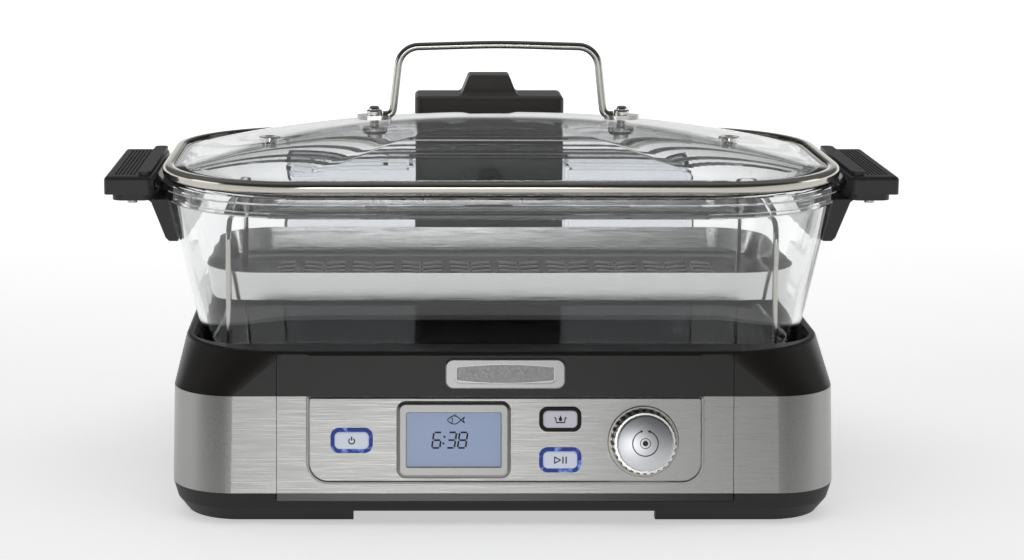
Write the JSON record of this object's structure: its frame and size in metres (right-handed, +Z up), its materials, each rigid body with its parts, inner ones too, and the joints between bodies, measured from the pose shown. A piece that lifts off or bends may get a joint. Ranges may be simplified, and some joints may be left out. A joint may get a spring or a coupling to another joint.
{
  "type": "electric food steamer",
  "caption": "Oblong electric food steamer: steel-fronted base with display, buttons and knob, glass pot with handles, domed glass lid, slotted tray and rear water tank.",
  "frame": {"origin": "under the middle of the base, on the surface it stands on", "axes": "+Z up, -Y is the front with the controls, +X to the right seen from the front"},
  "size_m": [0.4444, 0.3102, 0.2497],
  "materials": {
    "base_plastic": "fine satin",
    "foot_rubber": "matt",
    "screw_steel": "zinc plated",
    "panel_steel": "horizontal brushing",
    "gland_rubber": "matt",
    "collar_plastic": "dark metallic grain",
    "badge_metal": "satin",
    "liner_plastic": "satin",
    "tower_plastic": "satin",
    "silicone": "matt translucent",
    "display_frame": "gloss",
    "display_cover": "clear",
    "display_cell": "lit blue",
    "light_box": "white",
    "circuit_board": "solder mask",
    "switch_black": "matt",
    "ring_plastic": "tinted gloss",
    "button_plastic": "gloss",
    "knob_dish": "gloss",
    "encoder_metal": "plain",
    "knob_black": "satin",
    "knob_silver": "satin",
    "boiler_metal": "cast",
    "pipe_silicone": "matt",
    "pump_plastic": "matt",
    "pot_glass": "clear",
    "grip_plastic": "fine matt",
    "bracket_plastic": "satin",
    "lid_clear": "clear",
    "rim_steel": "polished",
    "handle_steel": "polished",
    "washer_silicone": "matt",
    "tray_steel": "bright",
    "bail_wire": "polished",
    "tank_clear": "clear smoke",
    "tank_grip": "satin",
    "valve_plastic": "matt"
  },
  "bodies": {
    "base": {"bottom_housing": "base_plastic", "rubber_feet": "foot_rubber", "base_screws": "screw_steel", "left_side_panel": "panel_steel", "right_side_panel": "panel_steel", "rear_cover": "base_plastic", "cord_gland": "gland_rubber", "collar": "collar_plastic", "collar_front": "collar_plastic", "badge_plate": "badge_metal", "seat_liner": "liner_plastic", "tank_well": "liner_plastic", "tank_socket": "liner_plastic", "tower_shell": "tower_plastic", "steam_nozzle": "silicone", "front_fascia": "panel_steel", "panel_carrier": "liner_plastic", "display_bezel": "display_frame", "display_window": "display_cover", "lcd_glass": "display_cell", "backlight_box": "light_box", "control_board": "circuit_board", "tact_switches": "switch_black", "button_rings": "ring_plastic", "knob_ring": "knob_dish", "encoder_body": "encoder_metal", "boiler": "boiler_metal", "thermal_cutout": "boiler_metal", "steam_pipe": "pipe_silicone", "pump": "pump_plastic", "water_tubes": "silicone", "power_board": "circuit_board"},
    "encoder_rotor": {"encoder_sleeve": "switch_black"},
    "knob": {"knob_grip": "knob_black", "knob_face": "knob_silver", "encoder_shaft": "encoder_metal"},
    "power_button": {"power_button": "button_plastic"},
    "tray_button": {"tray_button": "button_plastic"},
    "start_button": {"start_button": "button_plastic"},
    "pot": {"glass_pot": "pot_glass", "steam_seal": "silicone", "left_grip": "grip_plastic", "right_grip": "grip_plastic", "handle_brackets": "bracket_plastic", "handle_screws": "screw_steel"},
    "lid": {"lid_glass": "lid_clear", "lid_rim": "rim_steel", "lid_handle": "handle_steel", "lid_nuts": "handle_steel", "lid_studs": "handle_steel", "lid_washers": "washer_silicone", "vent_grommets": "handle_steel"},
    "tray": {"steam_tray": "tray_steel", "tray_bails": "bail_wire"},
    "tank": {"tank_shell": "tank_clear", "tank_cover": "tank_clear", "tank_handle": "tank_grip"},
    "tank_valve": {"valve_poppet": "valve_plastic"}
  },
  "joints": [
    {"name": "knob_turn", "type": "hinge", "parent": "base", "child": "encoder_rotor", "pos_m": [0.0745, -0.14045, 0.04575], "axis": [0, -0.9877, 0.1564], "continuous": true},
    {"name": "knob_push", "type": "slide", "parent": "encoder_rotor", "child": "knob", "axis": [0, 0.9877, -0.1564], "range_m": [0, 0.0008], "stiffness_N_per_m": 1000},
    {"name": "power_press", "type": "slide", "parent": "base", "child": "power_button", "axis": [0, 0.9877, -0.1564], "range_m": [0, 0.0007], "stiffness_N_per_m": 600},
    {"name": "tray_press", "type": "slide", "parent": "base", "child": "tray_button", "axis": [0, 0.9877, -0.1564], "range_m": [0, 0.0007], "stiffness_N_per_m": 600},
    {"name": "start_press", "type": "slide", "parent": "base", "child": "start_button", "axis": [0, 0.9877, -0.1564], "range_m": [0, 0.0007], "stiffness_N_per_m": 600},
    {"name": "pot_lift", "type": "slide", "parent": "base", "child": "pot", "axis": [0, 0, 1], "range_m": [0, 0.2]},
    {"name": "lid_lift", "type": "slide", "parent": "pot", "child": "lid", "axis": [0, 0, 1], "range_m": [0, 0.22]},
    {"name": "tray_lift", "type": "slide", "parent": "pot", "child": "tray", "axis": [0, 0, 1], "range_m": [0, 0.133]},
    {"name": "tank_lift", "type": "slide", "parent": "base", "child": "tank", "axis": [0, 0, 1], "range_m": [0, 0.18]},
    {"name": "valve_drop", "type": "slide", "parent": "tank", "child": "tank_valve", "axis": [0, 0, -1], "range_m": [0, 0.001]}
  ],
  "couplings": [
    {"joint": "tray_lift", "follows": "lid_lift", "ratio": 0.6},
    {"joint": "valve_drop", "follows": "tank_lift", "ratio": 0.0055}
  ]
}
